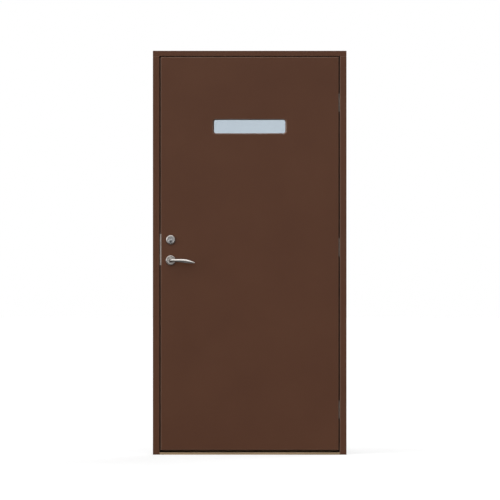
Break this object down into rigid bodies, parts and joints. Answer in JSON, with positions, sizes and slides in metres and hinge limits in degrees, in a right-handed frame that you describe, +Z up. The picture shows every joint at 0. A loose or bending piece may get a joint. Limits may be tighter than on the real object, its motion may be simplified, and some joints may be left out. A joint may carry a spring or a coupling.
{
  "type": "glass door",
  "caption": "Exterior door set: flush leaf with a narrow glazed slot near the top, in a rebated timber frame with threshold, concealed hinges, mortise lock, lever handle and round cylinder",
  "frame": {"origin": "centre of the frame's underside at floor level, midway between the jambs and midway in the depth of the frame", "axes": "+X to the right seen from the pull side, towards the hinges; +Y from the pull side to the push side; +Z up"},
  "size_m": [0.99, 0.1808, 2.065],
  "materials": {
    "painted_timber": "satin dark brown paint",
    "oak": "oiled oak",
    "bare_timber": "planed pine",
    "foam": "rigid insulating foam",
    "seal_rubber": "matt black rubber",
    "glass": "clear float",
    "spacer": "matt black spacer bar",
    "zinc_steel": "zinc plated steel",
    "chrome_furniture": "polished chrome plate",
    "satin_cylinder": "satin chrome on brass"
  },
  "bodies": {
    "frame": {"frame_head": "painted_timber", "latch_jamb": "painted_timber", "hinge_jamb": "painted_timber", "threshold": "oak", "head_seal": "seal_rubber", "latch_jamb_seal": "seal_rubber", "hinge_jamb_seal": "seal_rubber", "threshold_seal": "seal_rubber", "strike_plate": "zinc_steel", "strike_screws": "zinc_steel", "frame_screws": "zinc_steel", "fixing_sleeves": "zinc_steel", "hinge_box_bottom": "zinc_steel", "hinge_box_middle": "zinc_steel", "hinge_box_top": "zinc_steel", "hinge_pins": "zinc_steel", "hinge_box_screws": "zinc_steel"},
    "leaf": {"outer_skin": "painted_timber", "inner_skin": "painted_timber", "latch_stile": "painted_timber", "hinge_stile": "painted_timber", "top_rail": "painted_timber", "bottom_rail": "painted_timber", "lock_block": "bare_timber", "insulation_core": "foam", "window_lining": "bare_timber", "outer_glazing_frame": "painted_timber", "inner_glazing_frame": "painted_timber", "outer_pane": "glass", "middle_pane": "glass", "inner_pane": "glass", "glazing_spacers": "spacer", "glazing_tapes": "seal_rubber", "setting_blocks": "seal_rubber", "glazing_frame_screws": "zinc_steel", "hinge_arm_bottom": "zinc_steel", "hinge_arm_middle": "zinc_steel", "hinge_arm_top": "zinc_steel", "hinge_arm_screws": "zinc_steel", "lock_case": "zinc_steel", "lock_case_cover": "zinc_steel", "lock_forend": "zinc_steel", "edge_screws": "zinc_steel", "edge_guard": "zinc_steel", "outer_rosette": "chrome_furniture", "inner_rosette": "chrome_furniture", "rosette_screws": "zinc_steel", "cylinder_ring": "chrome_furniture", "cylinder_housing": "satin_cylinder", "cylinder_screws": "zinc_steel", "thumb_turn_rosette": "chrome_furniture"},
    "levers": {"outer_lever": "chrome_furniture", "inner_lever": "chrome_furniture", "spindle": "zinc_steel", "follower": "zinc_steel"},
    "latch_bolt": {"latch_bolt": "zinc_steel"},
    "deadbolt": {"deadbolt": "zinc_steel"},
    "thumb_turn": {"thumb_turn": "chrome_furniture", "deadbolt_cam": "zinc_steel"},
    "key_plug": {"key_plug": "satin_cylinder"}
  },
  "joints": [
    {"name": "leaf_swing", "type": "hinge", "parent": "frame", "child": "leaf", "pos_m": [0.483, -0.0385, 1.028], "axis": [0, 0, 1], "range_deg": [0, 100]},
    {"name": "lever_turn", "type": "hinge", "parent": "leaf", "child": "levers", "pos_m": [-0.404, -0.0215, 0.994], "axis": [0, 1, 0], "range_deg": [0, 40], "stiffness_Nm_per_rad": 1, "springref_deg": -57.3},
    {"name": "latch_slide", "type": "slide", "parent": "leaf", "child": "latch_bolt", "axis": [1, 0, 0], "range_m": [0, 0.012]},
    {"name": "thumb_turn", "type": "hinge", "parent": "leaf", "child": "thumb_turn", "pos_m": [-0.404, -0.0215, 1.0895], "axis": [0, 1, 0], "range_deg": [0, 90]},
    {"name": "deadbolt_slide", "type": "slide", "parent": "leaf", "child": "deadbolt", "axis": [-1, 0, 0], "range_m": [0, 0.02]},
    {"name": "key_turn", "type": "hinge", "parent": "leaf", "child": "key_plug", "pos_m": [-0.404, -0.0215, 1.0895], "axis": [0, 1, 0], "continuous": true}
  ],
  "couplings": [
    {"joint": "latch_slide", "follows": "lever_turn", "m_per_rad": 0.017189},
    {"joint": "thumb_turn", "follows": "deadbolt_slide", "rad_per_m": 78.54}
  ]
}
